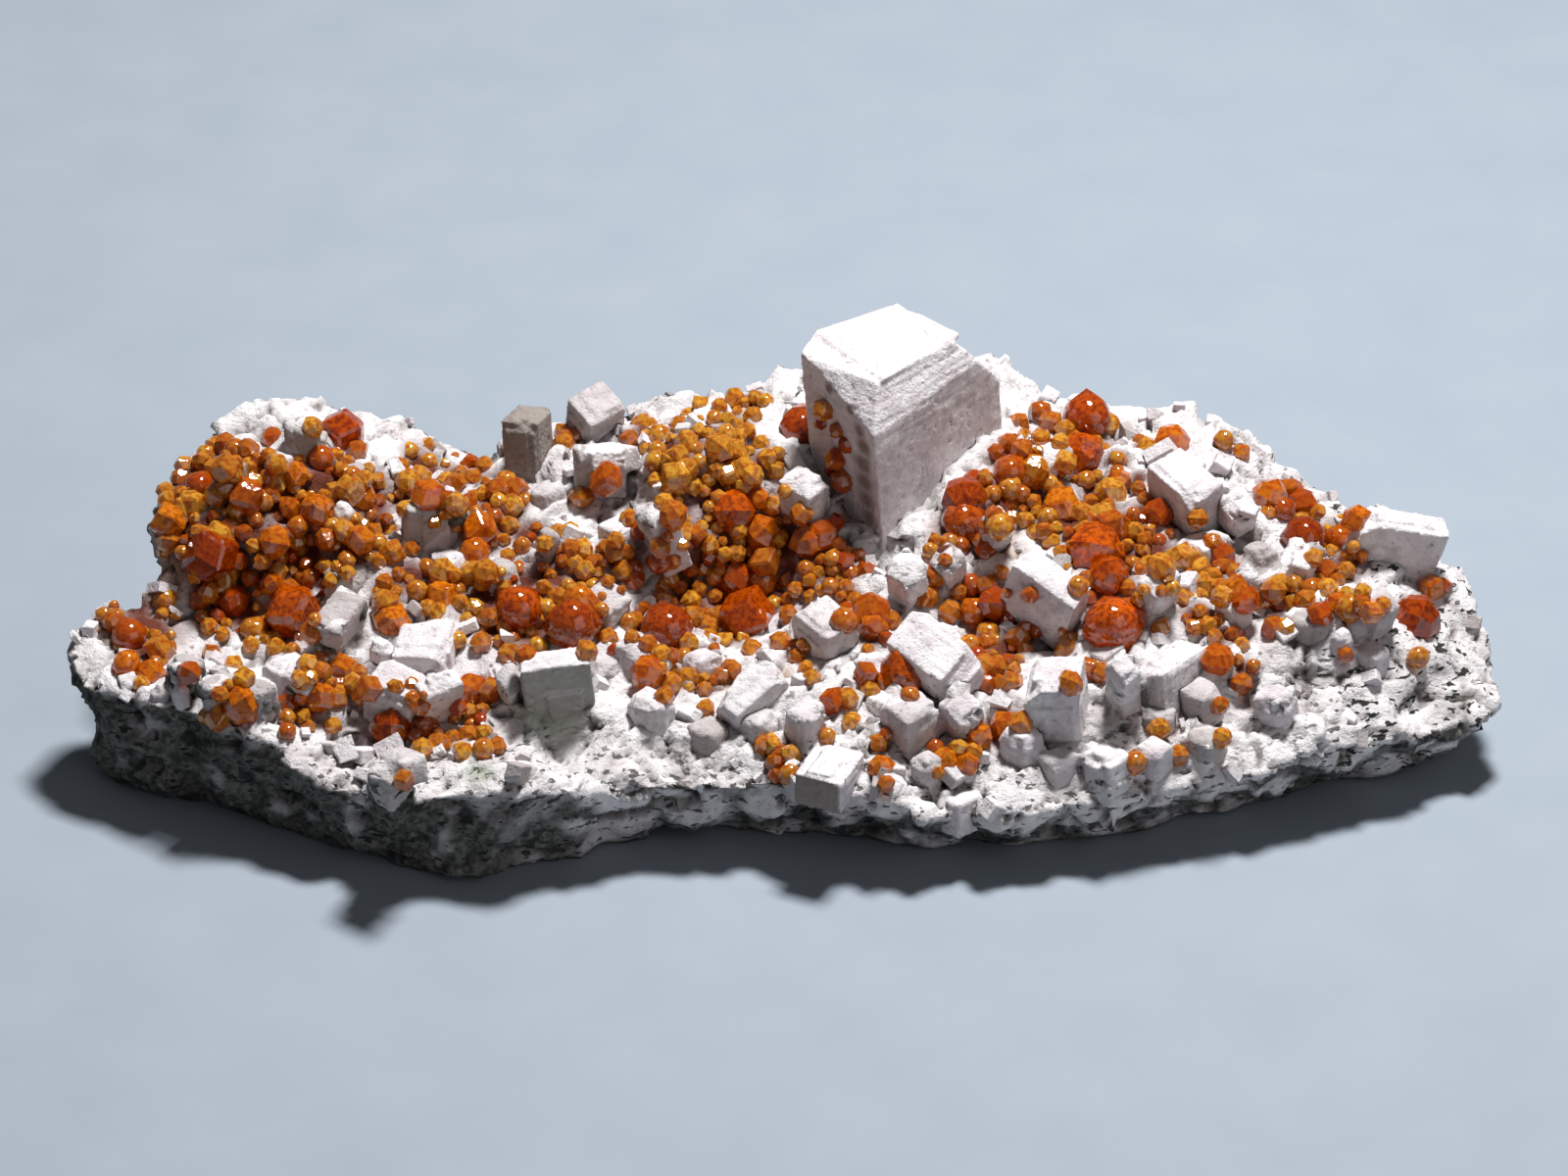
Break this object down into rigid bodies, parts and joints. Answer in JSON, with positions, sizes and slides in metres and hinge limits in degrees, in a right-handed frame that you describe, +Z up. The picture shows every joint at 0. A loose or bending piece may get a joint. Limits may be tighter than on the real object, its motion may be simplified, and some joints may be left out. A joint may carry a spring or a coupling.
{
  "type": "spessartine on matrix",
  "caption": "Orange spessartine garnet crystals scattered and crusted over blocky white feldspar on a long slab of rock that lies on its broken underside",
  "frame": {"origin": "On the flat base, under the middle of the slab, at the level that the slab rests on", "axes": "+X runs along the slab's length, to the right as seen from the front; +Y points to the back, where the slab is thicker; +Z points up, away from the base"},
  "size_m": [0.1393, 0.0651, 0.0347],
  "materials": {
    "rock": "rough, pitted, chalky white on top with dark grey speckled broken faces in front and below",
    "feldspar": "dull, fine-grained cleavage faces with stepped growth, white with a trace of lilac",
    "spessartine": "bright glassy faces, see-through orange that turns dark red where a crystal is thick"
  },
  "bodies": {
    "root": {"feldspar_back_brown": "feldspar", "feldspar_back_peak": "feldspar", "feldspar_brown_spotted": "feldspar", "feldspar_front_dome": "feldspar", "feldspar_front_pocked": "feldspar", "feldspar_front_roof": "feldspar", "feldspar_grooved": "feldspar", "feldspar_left_pale": "feldspar", "feldspar_left_slab": "feldspar", "feldspar_left_wedge": "feldspar", "feldspar_middle_lid": "feldspar", "feldspar_pitted": "feldspar", "feldspar_right_column": "feldspar", "feldspar_right_end": "feldspar", "feldspar_right_ridge": "feldspar", "feldspar_tall_block": "feldspar", "garnet_beside_tall": "spessartine", "garnet_crust_behind_tall": "spessartine", "garnet_crust_beside_lid": "spessartine", "garnet_crust_fan": "spessartine", "garnet_crust_front_left": "spessartine", "garnet_crust_hill": "spessartine", "garnet_crust_hill_foot": "spessartine", "garnet_crust_hollow": "spessartine", "garnet_crust_ledge": "spessartine", "garnet_crust_left_flank": "spessartine", "garnet_crust_middle": "spessartine", "garnet_crust_mound": "spessartine", "garnet_crust_mound_front": "spessartine", "garnet_crust_red_bank": "spessartine", "garnet_crust_ridge": "spessartine", "garnet_crust_saddle": "spessartine", "garnet_crust_slope": "spessartine", "garnet_crust_valley": "spessartine", "garnet_dark_lilac": "spessartine", "garnet_end_arch": "spessartine", "garnet_end_ball": "spessartine", "garnet_end_dark": "spessartine", "garnet_front_honey": "spessartine", "garnet_hill_top": "spessartine", "garnet_hollow_deep": "spessartine", "garnet_ledge_back": "spessartine", "garnet_ledge_front": "spessartine", "garnet_left_hollow": "spessartine", "garnet_left_orange": "spessartine", "garnet_middle_dark": "spessartine", "garnet_mound_foot": "spessartine", "garnet_mound_orange": "spessartine", "garnet_on_lid": "spessartine", "garnet_ridge_orange": "spessartine", "garnet_ridge_top": "spessartine", "garnet_right_dark": "spessartine", "garnet_right_faceted": "spessartine", "garnet_saddle_low": "spessartine", "garnet_saddle_upper": "spessartine", "garnet_slab_red": "spessartine", "garnet_under_hill_left": "spessartine", "garnet_under_hill_right": "spessartine", "garnet_valley_orange": "spessartine", "matrix_slab": "rock"}
  },
  "joints": []
}
